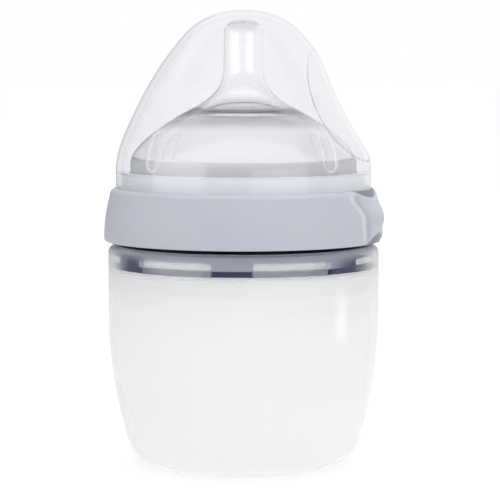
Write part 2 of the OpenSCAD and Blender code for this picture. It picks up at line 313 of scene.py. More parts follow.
# A thin clear shell: straight through where it faces you, greyer and then mirror-like where you look along
# it. The scoop's crease takes that grey as a painted dark line. Its rim is frosted, the ribs' edges take the
# white frost as painted highlight lines, and the wall inside is less polished just above the rim.
def makeShell(name, look):
    material, tree = newMaterial(name)
    turn = addNode(tree, "ShaderNodeLayerWeight", values={"Blend": 0.5})
    rim = addNode(tree, "ShaderNodeMapRange", settings=smooth,
                  values={"From Min": look["edgeFrom"], "From Max": 1.0},
                  links={"Value": turn.outputs["Facing"]})
    # Painted shade: the crease attribute draws a dark line of the edge grey along the scoop's crease
    crease = addNode(tree, "ShaderNodeAttribute", settings={"attribute_name": "crease"})
    line = addNode(tree, "ShaderNodeMath", settings=larger,
                   links={0: rim.outputs["Result"], 1: crease.outputs["Fac"]})
    colour = addNode(tree, "ShaderNodeMix", settings=colours,
                     values={"A": hexToLinear(look["tint"]), "B": hexToLinear(look["edgeTint"])},
                     links={"Factor": line.outputs[0]})
    through = addNode(tree, "ShaderNodeBsdfTransparent", links={"Color": colour.outputs["Result"]})
    grazing = addNode(tree, "ShaderNodeMath", settings={"operation": "POWER"}, values={1: 5.0},
                      links={0: turn.outputs["Facing"]})
    mirror = addNode(tree, "ShaderNodeMapRange", values={"To Min": 0.04, "To Max": look["edgeMirror"]},
                     links={"Value": grazing.outputs[0]})  # 4% straight on, as for plastic of IOR 1.49
    split = addPlace(tree)[1]
    finish = addNode(tree, "ShaderNodeMapRange", settings=smooth,
                     values={"From Min": look["dullBelow"] * mm, "From Max": look["polishedAbove"] * mm,
                             "To Min": look["dullRoughness"], "To Max": look["roughness"]},
                     links={"Value": split.outputs["Z"]})
    gloss = addNode(tree, "ShaderNodeBsdfAnisotropic", links={"Roughness": finish.outputs["Result"]})
    shell = addNode(tree, "ShaderNodeMixShader",
                    links={"Fac": mirror.outputs["Result"], 1: through.outputs["BSDF"],
                           2: gloss.outputs["BSDF"]})
    band = addNode(tree, "ShaderNodeMapRange", settings=smooth,
                   values={"From Min": (look["frostBelow"] + look["frostSoft"]) * mm,
                           "From Max": (look["frostBelow"] - look["frostSoft"]) * mm,
                           "To Max": look["frost"]}, links={"Value": split.outputs["Z"]})
    # The frost band, and painted white highlight lines along the ribs' edges
    ribs = addNode(tree, "ShaderNodeAttribute", settings={"attribute_name": "ribLine"})
    frostAndRibHighlight = addNode(tree, "ShaderNodeMath", settings=larger,
                   links={0: band.outputs["Result"], 1: ribs.outputs["Fac"]})
    cloud = addNode(tree, "ShaderNodeBsdfDiffuse", values={"Color": hexToLinear("#FFFFFF")})
    mix = addNode(tree, "ShaderNodeMixShader",
                  links={"Fac": frostAndRibHighlight.outputs[0], 1: shell.outputs["Shader"], 2: cloud.outputs["BSDF"]})
    addNode(tree, "ShaderNodeOutputMaterial", links={"Surface": mix.outputs["Shader"]})
    return material


# Slow flow marks and a spark texture, in mm, and what the marks take from the roughness or add to it. gapSoft
# softens the edges of the painted gap shade, in mm.
moulding = {"flowMarks": 14, "spark": 0.35, "sparkDepth": 0.03, "smoother": 0.04, "rougher": 0.05,
            "gapSoft": 0.2}


# Polypropylene, moulded with a fine spark texture: even grey with a soft, slightly uneven sheen, and a band
# of painted shade at the heights where the collar nearly meets the cup
def makePolypropylene(name, look):
    material, tree = newMaterial(name)
    where, split = addPlace(tree)
    flow = addNode(tree, "ShaderNodeTexNoise",
                   values={"Scale": 1 / (moulding["flowMarks"] * mm), "Detail": 2, "Roughness": 0.4},
                   links={"Vector": where.outputs["Object"]})
    spark = addNode(tree, "ShaderNodeTexNoise", values={"Scale": 1 / (moulding["spark"] * mm), "Detail": 2},
                    links={"Vector": where.outputs["Object"]})
    tint = addNode(tree, "ShaderNodeMix", settings=colours,
                   values={"A": hexToLinear(look["darker"]), "B": hexToLinear(look["colour"])},
                   links={"Factor": flow.outputs["Fac"]})
    # Painted shade: a dark band of colour between two heights, where the collar nearly meets the cup
    below = addNode(tree, "ShaderNodeMapRange",
                    values={"From Min": (look["gapHigh"] + moulding["gapSoft"]) * mm,
                            "From Max": look["gapHigh"] * mm},
                    links={"Value": split.outputs["Z"]})
    above = addNode(tree, "ShaderNodeMapRange",
                    values={"From Min": (look["gapLow"] - moulding["gapSoft"]) * mm,
                            "From Max": look["gapLow"] * mm},
                    links={"Value": split.outputs["Z"]})
    inGapShade = addNode(tree, "ShaderNodeMath", settings=product,
                    links={0: below.outputs["Result"], 1: above.outputs["Result"]})
    tone = addNode(tree, "ShaderNodeMix", settings=colours, values={"B": hexToLinear(look["gapShade"])},
                   links={"Factor": inGapShade.outputs[0], "A": tint.outputs["Result"]})
    sheen = addNode(tree, "ShaderNodeMapRange",
                    values={"From Min": 0.3, "From Max": 0.7,
                            "To Min": look["roughness"] - moulding["smoother"],
                            "To Max": look["roughness"] + moulding["rougher"]},
                    links={"Value": flow.outputs["Fac"]})
    bump = addNode(tree, "ShaderNodeBump", values={"Strength": 0.12, "Distance": moulding["sparkDepth"] * mm},
                   links={"Height": spark.outputs["Fac"]})
    shader = addNode(tree, "ShaderNodeBsdfPrincipled",
                     values={"IOR": 1.49, "Specular IOR Level": 0.15, "Subsurface Weight": 0.12,
                             "Subsurface Scale": 0.8 * mm},
                     links={"Base Color": tone.outputs["Result"], "Roughness": sheen.outputs["Result"],
                            "Normal": bump.outputs["Normal"]})
    addNode(tree, "ShaderNodeOutputMaterial", links={"Surface": shader.outputs["BSDF"]})
    return material, tree, tone, shader


# Painted shade on the slate under the silicone: a little in the bar below the windows, more where you look
# along it, and most in the keying pockets at the tabs' feet and up the tabs at the sides, which take a
# painted dark blue shade
def paintShadeOnRing(tree, tone, shader, look):
    split = addPlace(tree)[1]
    inBar = addNode(tree, "ShaderNodeMapRange", settings=smooth,
                    values={"From Min": look["barFrom"] * mm, "From Max": look["barFull"] * mm},
                    links={"Value": split.outputs["Z"]})
    bar = addNode(tree, "ShaderNodeMix", settings=colours, values={"B": hexToLinear(look["bar"])},
                  links={"Factor": inBar.outputs["Result"], "A": tone.outputs["Result"]})
    turn = addNode(tree, "ShaderNodeLayerWeight", values={"Blend": 0.5})
    grazing = addNode(tree, "ShaderNodeMapRange", settings=smooth,
                      values={"From Min": look["alongTurnFrom"], "From Max": look["alongTurnTo"]},
                      links={"Value": turn.outputs["Facing"]})
    covered = addNode(tree, "ShaderNodeMapRange", settings=smooth,
                      values={"From Min": look["coverTop"] * mm, "From Max": look["coverFull"] * mm,
                              "To Max": look["alongMost"]}, links={"Value": split.outputs["Z"]})
    along = addNode(tree, "ShaderNodeMath", settings=product,
                    links={0: grazing.outputs["Result"], 1: covered.outputs["Result"]})
    edge = addNode(tree, "ShaderNodeMix", settings=colours, values={"B": hexToLinear(look["along"])},
                   links={"Factor": along.outputs[0], "A": bar.outputs["Result"]})
    away = angleAway(tree, split, interlock["windows"], interlock["tabDirection"])
    pocket = patchMask(tree, split, away, interlock["tabArc"], look["low"], look["high"], look["softArc"],
                       look["softHeight"])
    tab = patchMask(tree, split, away, interlock["tabArc"], look["low"], look["high"] + look["tabRise"],
                    look["softArc"], look["tabSoft"])
    side = addNode(tree, "ShaderNodeMapRange", settings=smooth,
                   values={"From Min": look["tabTurnFrom"], "From Max": look["tabTurnTo"]},
                   links={"Value": turn.outputs["Facing"]})
    tabSide = addNode(tree, "ShaderNodeMath", settings=product,
                      links={0: tab.outputs[0], 1: side.outputs["Result"]})
    shaded = addNode(tree, "ShaderNodeMath", settings=larger,
                     links={0: pocket.outputs[0], 1: tabSide.outputs[0]})
    dark = addNode(tree, "ShaderNodeMix", settings=colours, values={"B": hexToLinear(look["pocket"])},
                   links={"Factor": shaded.outputs[0], "A": edge.outputs["Result"]})
    tree.links.new(dark.outputs["Result"], shader.inputs["Base Color"])


# Painted shade in the scallops and grooves beside the lug, and a painted highlight along the raised edges
# between them
def paintRecessShadeAndHighlight(tree, tone, shader, shade, paintedHighlight):
    recess = addNode(tree, "ShaderNodeAttribute", settings={"attribute_name": "recess"})
    dark = addNode(tree, "ShaderNodeMix", settings=colours, values={"B": hexToLinear(shade)},
                   links={"Factor": recess.outputs["Fac"], "A": tone.outputs["Result"]})
    ridge = addNode(tree, "ShaderNodeAttribute", settings={"attribute_name": "ridge"})
    light = addNode(tree, "ShaderNodeMix", settings=colours, values={"B": hexToLinear(paintedHighlight)},
                    links={"Factor": ridge.outputs["Fac"], "A": dark.outputs["Result"]})
    tree.links.new(light.outputs["Result"], shader.inputs["Base Color"])


# The neck ring's windows and the tabs between them, as in the solid ring: heights in mm, angles in degrees
interlock = {"windows": 7, "tabDirection": -80.7, "tabArc": 17.3, "windowLow": 61.2, "windowHigh": 63.1}

# Shares run from 0 to 1, and so do the turns: 0 faces you, 1 is edge on. Distances from thinAbove are in mm.
cupSilicone = {"colour": "#FDFDFD", "roughness": 0.08, "grain": 1.2, "grainDepth": 0.03, "lamps": "#F0F0F0",
               "milk": 0.5, "through": 0.4, "thinAbove": 59.2, "thin": 0.03, "thinFrom": 1.6, "thinTo": 0.2,
               "underRing": 2.0, "underRingFrom": 11, "underRingTo": 1,
               "edge": 0.72, "edgeTurnFrom": 0.43, "edgeTurnTo": 0.76,
               "window": 0.7, "windowEdge": 0.2, "windowTurnFrom": 0.34, "windowTurnTo": 0.5,
               "windowSoftArc": 0.7, "windowSoftHeight": 0.35}
siliconeSatinOutside = makeSilicone("platinum silicone, satin moulded", cupSilicone)
siliconeMattInside = makeSilicone("platinum silicone, matt moulded inside",
                                  dict(cupSilicone, roughness=0.5, grainDepth=0.05, milk=0.8, thin=1,
                                       underRing=1, window=0, edge=0))

teatSilicone = {"colour": "#FEFEFE", "roughness": 0.04, "lamps": "#F8F8F8", "mattBelow": 90.6,
                "polishedAbove": 91.6, "mattRoughness": 0.5, "tipFrom": 130.4, "tipFull": 131.4,
                "tipFilm": 0.9, "stepHeight": 103.5, "stepReach": 4, "stepCore": 1.5, "stepFilm": 0.25}
siliconeClear = makeClearSilicone("clear silicone, polished mould, matt skirt", teatSilicone)

# edgeTint is the grey seen along the wall, and also the painted dark line along the scoop's crease
capPlastic = {"tint": "#FDFDFE", "edgeTint": "#454B54", "edgeFrom": 0.93, "edgeMirror": 0.72,
              "roughness": 0.03, "dullRoughness": 0.03, "dullBelow": 91.9, "polishedAbove": 93.9,
              "frostBelow": 86.9, "frostSoft": 0.4, "frost": 0.3}
clearPlastic = makeShell("clear moulded plastic, polished", capPlastic)
clearPlasticInside = makeShell("clear moulded plastic, polished inside",
                               dict(capPlastic, edgeTint="#FDFDFE", edgeFrom=0.9, edgeMirror=0.08,
                                    dullRoughness=0.6, frost=0.25))

# The collar's grey. Its lowest edge takes a band of painted shade where it nearly meets the cup
collarGrey = {"colour": "#BEC2CA", "darker": "#B7BBC5", "roughness": 0.45, "gapShade": "#14161D", "gapLow": 66.5,
              "gapHigh": 66.92}  # gap: the shade where the collar nearly meets the cup
greyPolypropylene, greyTree, greyTone, greyShader = makePolypropylene(
    "grey polypropylene, spark moulded", collarGrey)
# Painted shade colour for the scallops and groove, and painted highlight colour for the ridge
paintRecessShadeAndHighlight(greyTree, greyTone, greyShader, "#85878E", "#D8DBE2")
# The spigot and the opening inside it: polished, and painted a lighter grey to lighten their inside, which
# lies in shade
greyPolishedPaintedLighter = makePolypropylene("grey polypropylene, polished and painted lighter at the rim",
                                       dict(collarGrey, colour="#D3D7DE", darker="#CFD3DA",
                                            roughness=0.25))[0]

# The neck ring's slate, with a band of painted shade where the collar nearly meets the cup. With the collar
# unscrewed it stays on the ring as a dark band
ringSlate = {"colour": "#A9ACBB", "darker": "#A3A6B5", "roughness": 0.42, "gapShade": "#060D20", "gapLow": 65.8,
             "gapHigh": 67.2}
# Painted shade on the ring: the colours and heights of the darker bar, of the sides seen along the ring and
# of the dark blue keying pockets
ringPaintedShade = {"bar": "#8B8E99", "pocket": "#00184A", "low": 58.5, "high": 61.0, "softArc": 0.6,
             "softHeight": 0.15, "barFrom": 61.5, "barFull": 60.9, "along": "#36435A", "alongMost": 0.85,
             "alongTurnFrom": 0.09, "alongTurnTo": 0.23, "coverTop": 64.6, "coverFull": 62.6,
             "tabRise": 1.6, "tabSoft": 1.2, "tabTurnFrom": 0.12, "tabTurnTo": 0.22}
slatePolypropylene, slateTree, slateTone, slateShader = makePolypropylene(
    "slate polypropylene, spark moulded", ringSlate)
paintShadeOnRing(slateTree, slateTone, slateShader, ringPaintedShade)
print("materials made")


# Sizes in mm and angles in degrees. A pull is how far a curve's handle lies from its end.
cup = {"radius": 40.35, "top": 65.7, "shoulderRound": 2.4, "footRadius": 25.8, "heelRound": 9,
       "heelFlare": 17.5, "heelPull": 12, "uprightFrom": 47, "uprightPull": 16, "recess": 0.8,
       "recessRadius": 19, "recessSlope": 1.2, "floor": 3.6, "wall": 2.8, "liningInner": 33.4,
       "liningBottom": 57.5, "liningSlope": 4.5, "insidePull": 10, "insideHeelIn": 0.2,
       "insideHeelDown": 1.2, "insideHeelPull": (3.2, 12), "insideHeelStart": -15, "steps": 240}


def cupOutline():
    heel = math.radians(cup["heelFlare"])
    centre = (cup["footRadius"], cup["heelRound"])
    heelEnd = (centre[0] + cup["heelRound"] * math.cos(heel), centre[1] - cup["heelRound"] * math.sin(heel))
    innerHeel = cup["heelRound"] - cup["wall"]
    floorHeight = cup["recess"] + cup["floor"]
    innerStart = (heelEnd[0] - cup["wall"] + cup["insideHeelIn"],
                  floorHeight + innerHeel - cup["insideHeelDown"])
    narrowing = cup["liningBottom"] - cup["liningSlope"]
    innerRadius = cup["radius"] - cup["wall"]
    outside = [(0, cup["recess"]), (cup["recessRadius"], cup["recess"]),
               (cup["recessRadius"] + cup["recessSlope"], 0)]
    outside += arcPoints(centre, cup["heelRound"], -90, -cup["heelFlare"], 18)
    heelPull = (heelEnd[0] + cup["heelPull"] * math.sin(heel), heelEnd[1] + cup["heelPull"] * math.cos(heel))
    outside += curvePoints(heelEnd, heelPull, (cup["radius"], cup["uprightFrom"] - cup["uprightPull"]),
                           (cup["radius"], cup["uprightFrom"]), 40, 1)
    outside += arcPoints((cup["radius"] - cup["shoulderRound"], cup["top"] - cup["shoulderRound"]),
                         cup["shoulderRound"], 0, 90, 12)
    inside = [(cup["liningInner"], cup["top"]), (cup["liningInner"], cup["liningBottom"])]
    inside += curvePoints((innerRadius, narrowing), (innerRadius, narrowing - cup["insidePull"]),
                          pulled(innerStart, cup["insideHeelPull"]), innerStart, 30)
    inside += arcPoints((innerStart[0] - innerHeel, innerStart[1]), innerHeel, cup["insideHeelStart"], -90,
                        12)
    inside += [(0, floorHeight)]
    return outside, inside


outside, inside = cupOutline()
bottleBody = spunMesh("siliconeCup", outside + inside, cup["steps"],
                      [siliconeSatinOutside, siliconeMattInside], closed=False)
for face in bottleBody.data.polygons:  # faces come ring by ring, up the outside and then down the inside
    if face.index >= len(outside) * cup["steps"]:
        face.material_index = 1
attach(bottleBody, "bottle")
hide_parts("bottle_body")
print("silicone cup:", len(bottleBody.data.vertices), "vertices")


# Both threads share one form. It runs out to nothing over runOut degrees at each end.
thread = {"lead": 5, "angle": 20, "baseWidth": 2.3, "crestWidth": 1.1, "sink": 0.15, "runOut": 40}
neck = {"threadRoot": 35, "threadCrest": 36.55, "turns": 1.55, "start": 68.9}

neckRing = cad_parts["neck_ring"]
neckRing.data.materials.clear()
neckRing.data.materials.append(slatePolypropylene)

neckThread = threadMesh("neckThread", neck["threadRoot"], neck["threadCrest"], neck["turns"], neck["start"],
                        thread, [slatePolypropylene])
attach(neckThread, "bottle")
print("neck ring and thread")


collar = {"bottom": 66.9, "top": 82.5, "radius": 41.52, "upperRadius": 39.75, "edgeRound": 1.85,
          "edgeStart": 14, "lowerRound": 0.7, "lowerPull": (1.2, 6.2), "upperPull": (0.95, 3.8),
          "bore": 37.2, "boreChamfer": 0.8, "plate": 2.5, "opening": 34, "spigotRadius": 36.1,
          "spigotTop": 87.2, "spigotRound": 0.5, "spigotFoot": 0.3, "threadCrest": 35.45,
          "threadTurns": 1.2, "threadDrop": 1.2, "steps": 360}

# The grip lug faces +X, with a scallop above it and one below. Its ridge and groove are placed in degrees
# from +X, and fade out towards the collar's bottom and top.
lug = {"reach": 42.1, "height": 73.8, "round": 7, "sweep": 28, "scallopFloor": 38.5, "lowerFloor": 40.7,
       "upperScallop": 40, "upperBottom": 79.6, "lowerScallop": 26, "lowerTop": 70.2, "blend": 0.5,
       "wallWidth": 0.7, "ridgeAt": 19, "ridgeTopAt": 25, "ridge": 0.22, "ridgeWidth": 1.4,
       "grooveAt": 14.8, "groove": 0.45, "grooveWidth": 1.6, "leanFrom": 75, "leanOver": 5.5,
       "fadeLow": 0.5, "fadeLowOver": 2, "fadeHigh": 0.6, "fadeHighOver": 1.2}

# Where the scallops' painted shade ends above their floors, and how strongly the groove's painted shade and
# the ridge's painted highlight show
recessShadeAndHighlight = {"upperTo": 0.7, "upperOver": 0.5, "lowerTo": 0.4, "lowerOver": 0.3, "groove": 0.3,
               "ridge": 0.6}


def collarOutline():
    edge = collar["top"] - collar["edgeRound"]
    plateBottom = collar["top"] - collar["plate"]
    lowerRound, (wallStart, wallPull) = collar["lowerRound"], collar["lowerPull"]
    upperPull = collar["upperPull"]
    outer = arcPoints((collar["radius"] - lowerRound, collar["bottom"] + lowerRound), lowerRound, -90, 0, 8)
    outer += curvePoints((collar["radius"], collar["bottom"] + wallStart),
                         (collar["radius"], collar["bottom"] + wallPull),
                         (collar["upperRadius"] + upperPull[0], edge - upperPull[1]),
                         (collar["upperRadius"], edge), 40, 1)
    outer += arcPoints((collar["upperRadius"] - collar["edgeRound"], edge), collar["edgeRound"],
                       collar["edgeStart"], 90, 8)
    foot, lip = collar["spigotFoot"], collar["spigotRound"]
    rim = [(collar["spigotRadius"] + foot, collar["top"]), (collar["spigotRadius"], collar["top"] + foot)]
    rim += arcPoints((collar["spigotRadius"] - lip, collar["spigotTop"] - lip), lip, 0, 90, 6)
    rim += arcPoints((collar["opening"] + lip, collar["spigotTop"] - lip), lip, 90, 180, 6)
    rim += [(collar["opening"], plateBottom)]
    bore = [(collar["bore"], plateBottom), (collar["bore"], collar["bottom"] + collar["boreChamfer"]),
            (collar["bore"] + collar["boreChamfer"], collar["bottom"])]
    return outer, rim + bore


# How deep a point lies in the scallops above and below the lug, from 0 to 1
def scallopDepths(r, z, angle):
    across = r * math.sin(angle)
    upper = lug["upperScallop"] - math.hypot(across, z - lug["upperBottom"] - lug["upperScallop"])
    lower = lug["lowerScallop"] - math.hypot(across, z - lug["lowerTop"] + lug["lowerScallop"])
    return ease(upper / lug["wallWidth"]), ease(lower / lug["wallWidth"])


# The raised edge and the groove along each side of the lug, from 0 to 1. Both lean outwards near the top
def lugEdges(z, angle):
    away = abs(math.degrees(math.atan2(math.sin(angle), math.cos(angle))))
    lean = (lug["ridgeTopAt"] - lug["ridgeAt"]) * ease((z - lug["leanFrom"]) / lug["leanOver"])
    ends = ease((z - collar["bottom"] - lug["fadeLow"]) / lug["fadeLowOver"])
    ends *= ease((collar["top"] - lug["fadeHigh"] - z) / lug["fadeHighOver"])
    return (ends * math.exp(-((away - lug["ridgeAt"] - lean) / lug["ridgeWidth"]) ** 2),
            ends * math.exp(-((away - lug["grooveAt"] - lean) / lug["grooveWidth"]) ** 2))


# The outer wall with its scallops cut in, then the ridge and groove, then the lug blended over them
def collarReach(r, z, angle):
    if r < collar["bore"] + 1 or z > collar["top"] + 0.01 or math.cos(angle) <= 0:
        return r  # inside the collar, on its spigot or on the far side
    upper, lower = scallopDepths(r, z, angle)
    r += (min(r, lug["scallopFloor"]) - r) * upper
    r += (min(r, lug["lowerFloor"]) - r) * lower
    ridge, groove = lugEdges(z, angle)
    r += (lug["ridge"] * ridge - lug["groove"] * groove) * (1 - max(upper, lower))
    ring = lug["round"] ** 2 - (z - lug["height"]) ** 2
    if ring > 0:
        centreX = lug["reach"] - lug["sweep"]
        plan = lug["sweep"] - lug["round"] + math.sqrt(ring)
        side = plan ** 2 - (centreX * math.sin(angle)) ** 2
        bump = centreX * math.cos(angle) + math.sqrt(side)
        bump -= lug["groove"] * groove
        r = softMax(r, bump, lug["blend"])
    return r


outer, rest = collarOutline()
screwCollar = spunMesh("screwCollar", outer + rest, collar["steps"], [greyPolypropylene, greyPolishedPaintedLighter],
                       reach=collarReach)
recess = screwCollar.data.attributes.new("recess", "FLOAT", "POINT")
paintedHighlight = screwCollar.data.attributes.new("ridge", "FLOAT", "POINT")
# Each vertex gets its weight of painted shade in the scallops and groove, and of painted highlight on the
# ridge
for index, vertex in enumerate(screwCollar.data.vertices):
    x, y, z = (c / mm for c in vertex.co)
    r = math.hypot(x, y)
    if r > collar["bore"] + 1 and z < collar["top"]:
        angle = math.atan2(y, x)
        upper, lower = scallopDepths(r, z, angle) if x > 0 else (0, 0)
        upper *= ease((lug["scallopFloor"] + recessShadeAndHighlight["upperTo"] - r) / recessShadeAndHighlight["upperOver"])
        lower *= ease((lug["lowerFloor"] + recessShadeAndHighlight["lowerTo"] - r) / recessShadeAndHighlight["lowerOver"])
        ridge, groove = lugEdges(z, angle) if x > 0 else (0, 0)
        recess.data[index].value = max(upper, lower, recessShadeAndHighlight["groove"] * groove)
        paintedHighlight.data[index].value = recessShadeAndHighlight["ridge"] * ridge * (1 - max(upper, lower))
# The faces that take the polished grey with its painted lighter colour
polishedLighterRadius = collar["spigotRadius"] + collar["spigotFoot"] + 0.1
polishedLighterBottom = collar["top"] - collar["plate"] - 0.1
for face in screwCollar.data.polygons:  # the spigot that the cap sits on, and the opening inside it
    corners = [screwCollar.data.vertices[v].co / mm for v in face.vertices]
    if all(math.hypot(c.x, c.y) < polishedLighterRadius and c.z > polishedLighterBottom for c in corners):
        face.material_index = 1
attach(screwCollar, "collar")
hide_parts("collar")

# It lies half a lead above the neck's ridge, between two of its turns
collarThread = threadMesh("collarThread", collar["bore"], collar["threadCrest"], collar["threadTurns"],
                          neck["start"] + thread["lead"] / 2 - collar["threadDrop"], thread,
                          [greyPolypropylene])
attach(collarThread, "collar")
print("screw collar:", len(screwCollar.data.vertices), "vertices")


nipple = {"top": 132, "radius": 5.95, "tipRadius": 5.7, "tipRound": 3.6, "tipWall": 1.5, "foot": 116.5,
          "hole": 0.45, "wall": 1.6, "footPull": (0.55, -5.5), "flareRadius": 17, "flareEnd": 105.2,
          "flarePull": (-6.5, 3.2), "shoulderPull": (5.5, -3.2), "base": 33.65, "baseHeight": 89.5,
          "basePull": 6.1, "baseWall": 1.75, "flange": 36.4, "flangeBottom": 78.6, "flangeTop": 80,
          "steps": 300}

# The wall is thicker round the teat's foot. That part ends in a small step, which shows as a bright ring.
teatInside = {"basePull": 3.6, "thicken": 20, "thickenHeight": 101.4, "thickenPull": (6.07, -3.72),
              "slopePull": (-2.6, 1.56), "step": 13.8, "stepTop": 104.9, "stepBottom": 104.3,
              "stepPull": (1.6, -0.3), "stepEdge": 0.1, "risePull": (-2.8, 1.5), "footPull": (0.65, -6.1),
              "tipRound": 2.4}


def nippleOutline():
    n, i = nipple, teatInside
    tip, foot = (n["tipRadius"], n["top"] - n["tipRound"]), (n["radius"], n["foot"])
    flare, base = (n["flareRadius"], n["flareEnd"]), (n["base"], n["baseHeight"])
    points = [(n["hole"], n["top"])]
    points += arcPoints((tip[0] - n["tipRound"], tip[1]), n["tipRound"], 90, 0, 12)
    points += linePoints(tip, foot, 6)
    points += curvePoints(foot, pulled(foot, n["footPull"]), pulled(flare, n["flarePull"]), flare, 28)
    points += curvePoints(flare, pulled(flare, n["shoulderPull"]), (base[0], base[1] + n["basePull"]), base,
                          36, 1)
    points += linePoints(base, (n["base"], n["flangeTop"]), 8)
    bore, teatBore, tipInside = n["base"] - n["baseWall"], n["radius"] - n["wall"], n["top"] - n["tipWall"]
    points += [(n["base"], n["flangeTop"]), (n["flange"], n["flangeTop"]), (n["flange"], n["flangeBottom"]),
               (bore, n["flangeBottom"])]
    points += linePoints((bore, n["flangeBottom"]), (bore, n["baseHeight"]), 9)
    thicken, step = (i["thicken"], i["thickenHeight"]), (i["step"], i["stepBottom"])
    foot = (teatBore, n["foot"])
    points += curvePoints((bore, n["baseHeight"]), (bore, n["baseHeight"] + i["basePull"]),
                          pulled(thicken, i["thickenPull"]), thicken, 44)
    points += curvePoints(thicken, pulled(thicken, i["slopePull"]), pulled(step, i["stepPull"]), step, 12, 1)
    points += curvePoints((i["step"] - i["stepEdge"], i["stepTop"]),
                          pulled((i["step"], i["stepTop"]), i["risePull"]), pulled(foot, i["footPull"]),
                          foot, 28)
    points += linePoints(foot, (teatBore, tipInside - i["tipRound"]), 6)
    points += arcPoints((teatBore - i["tipRound"], tipInside - i["tipRound"]), i["tipRound"], 0, 90, 8)
    points += [(n["hole"], tipInside)]
    return points[::-1]  # so that the faces look outwards


siliconeNipple = spunMesh("siliconeNipple", nippleOutline(), nipple["steps"], [siliconeClear])
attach(siliconeNipple, "nipple")
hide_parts("nipple")
print("nipple:", len(siliconeNipple.data.vertices), "vertices")


# The scoop faces +X. It is a sphere of scoopRadius whose centre lies scoopDistance out, and the wall
# follows it.
cap = {"top": 135, "radius": 37.95, "bottom": 82.5, "uprightTo": 87, "wall": 1.5, "uprightPull": 7,
       "waist": (31.2, 107.2), "waistInset": (0.9, 0.45), "waistPullDown": (3.7, -7.6),
       "waistPullUp": (-4.6, 9.4), "crown": (17.2, 128.2), "crownInset": (0.4, 0.9), "crownPull": (-4.4, 5),
       "topPull": 6.5, "scoopRadius": 50, "scoopDistance": 71.1, "scoopHeight": 127.9, "scoopWall": 1.1,
       "crease": 0.4, "creaseLine": 0.3, "creaseShade": 0.6, "creaseFade": 0.8, "creaseFadeFrom": 114,
       "creaseFadeOver": 8, "steps": 360}

# Rounded ribs inside, which stop the cap on the collar's rim. Painted white highlight lines run along their
# edges
rib = {"count": 4, "direction": -122, "bottom": 91, "top": 97.5, "radius": 2.6, "depth": 0.7, "edge": 0.8,
       "line": 0.45, "lineHighlight": 0.55}


def domeOutline(inset):
    side, top = cap["radius"] - inset, cap["top"] - inset
    crown = [c - share * inset for c, share in zip(cap["crown"], cap["crownInset"])]
    waist = [c - share * inset for c, share in zip(cap["waist"], cap["waistInset"])]
    points = [(side, cap["bottom"])] + linePoints((side, cap["bottom"]), (side, cap["uprightTo"]), 6)
    points += curvePoints((side, cap["uprightTo"]), (side, cap["uprightTo"] + cap["uprightPull"]),
                          pulled(waist, cap["waistPullDown"]), waist, 44)
    points += curvePoints(waist, pulled(waist, cap["waistPullUp"]), pulled(crown, cap["crownPull"], -1),
                          crown, 40, 1)
    points += curvePoints(crown, pulled(crown, cap["crownPull"]), (cap["topPull"], top), (0, top), 24, 1)
    return points


# The radius with the scoop taken in, and how near the point lies to the scoop's edge, from 0 to 1
def capReach(r, z, angle, scoopRadius):
    facing = math.cos(angle)
    if facing <= 0.05 or z < cap["uprightTo"]:
        return r, 0
    wall = (cap["scoopDistance"] - math.sqrt(scoopRadius ** 2 - (z - cap["scoopHeight"]) ** 2)) / facing
    return softMin(r, wall, cap["crease"]), max(0, 1 - abs(wall - r) / cap["creaseLine"])


# How far a rib stands in from the wall, and how near the point lies to the rib's edge, from 0 to 1
def ribDepth(r, z, angle):
    pitch = 2 * math.pi / rib["count"]
    away = (angle - math.radians(rib["direction"]) + pitch / 2) % pitch - pitch / 2
    within = rib["radius"] - math.hypot(away * r, max(rib["bottom"] - z, 0, z - rib["top"]))
    return rib["depth"] * ease(within / rib["edge"] + 0.5), max(0, 1 - abs(within) / rib["line"])


outerDome, innerDome = domeOutline(0), domeOutline(cap["wall"])
dome = spunMesh("clearCap", outerDome + innerDome[::-1], cap["steps"], [clearPlastic, clearPlasticInside])
outsideCount = (len(outerDome) - 1) * cap["steps"] + 1
creaseLine = dome.data.attributes.new("crease", "FLOAT", "POINT")
ribLine = dome.data.attributes.new("ribLine", "FLOAT", "POINT")
for index, vertex in enumerate(dome.data.vertices):  # scoops both sides of the wall, each with its own radius
    x, y, z = (c / mm for c in vertex.co)
    r = math.hypot(x, y)
    if r < 1e-6:
        continue
    radius = cap["scoopRadius"] + (0 if index < outsideCount else cap["scoopWall"])
    angle = math.atan2(y, x)
    reached, edge = capReach(r, z, angle, radius)
    if index >= outsideCount:
        # Painted white highlight lines along the ribs' edges
        depth, line = ribDepth(r, z, angle)
        reached -= depth
        ribLine.data[index].value = rib["lineHighlight"] * line
    else:
        # A painted dark line along the scoop's crease, fading out towards the top
        fade = 1 - cap["creaseFade"] * ease((z - cap["creaseFadeFrom"]) / cap["creaseFadeOver"])
        creaseLine.data[index].value = cap["creaseShade"] * edge * fade
    vertex.co.x *= reached / r
    vertex.co.y *= reached / r
for face in dome.data.polygons:  # faces come ring by ring, up the outside and then down the inside
    if min(face.vertices) >= outsideCount - 1:
        face.material_index = 1
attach(dome, "cap")
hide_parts("cap")
print("cap:", len(dome.data.vertices), "vertices")


# Glow is what the camera sees of the floor, straight or in gloss and glass. It runs from nearGlow at
# glowFrom metres out to farGlow at glowTo. Bounce is what the floor gives the bottle.
studio = {"floor": "#9A9A9C", "floorSize": 40, "nearGlow": 0.7, "farGlow": 0.915, "glowFrom": 0.1,
          "glowTo": 1.6, "bounce": 0.8, "world": 0.27, "ceiling": 0.88, "ceilingFrom": 0.12,
          "ceilingTo": 0.6, "aimHeight": 0.075}

# The lens is long: a 500 pixel frame with a focal length of 1969 pixels
view = {"azimuth": 14, "distance": 0.586, "height": 0.11613, "aside": 0.001934, "focalPixels": 1969,
        "frame": 500, "horizonRow": 74}


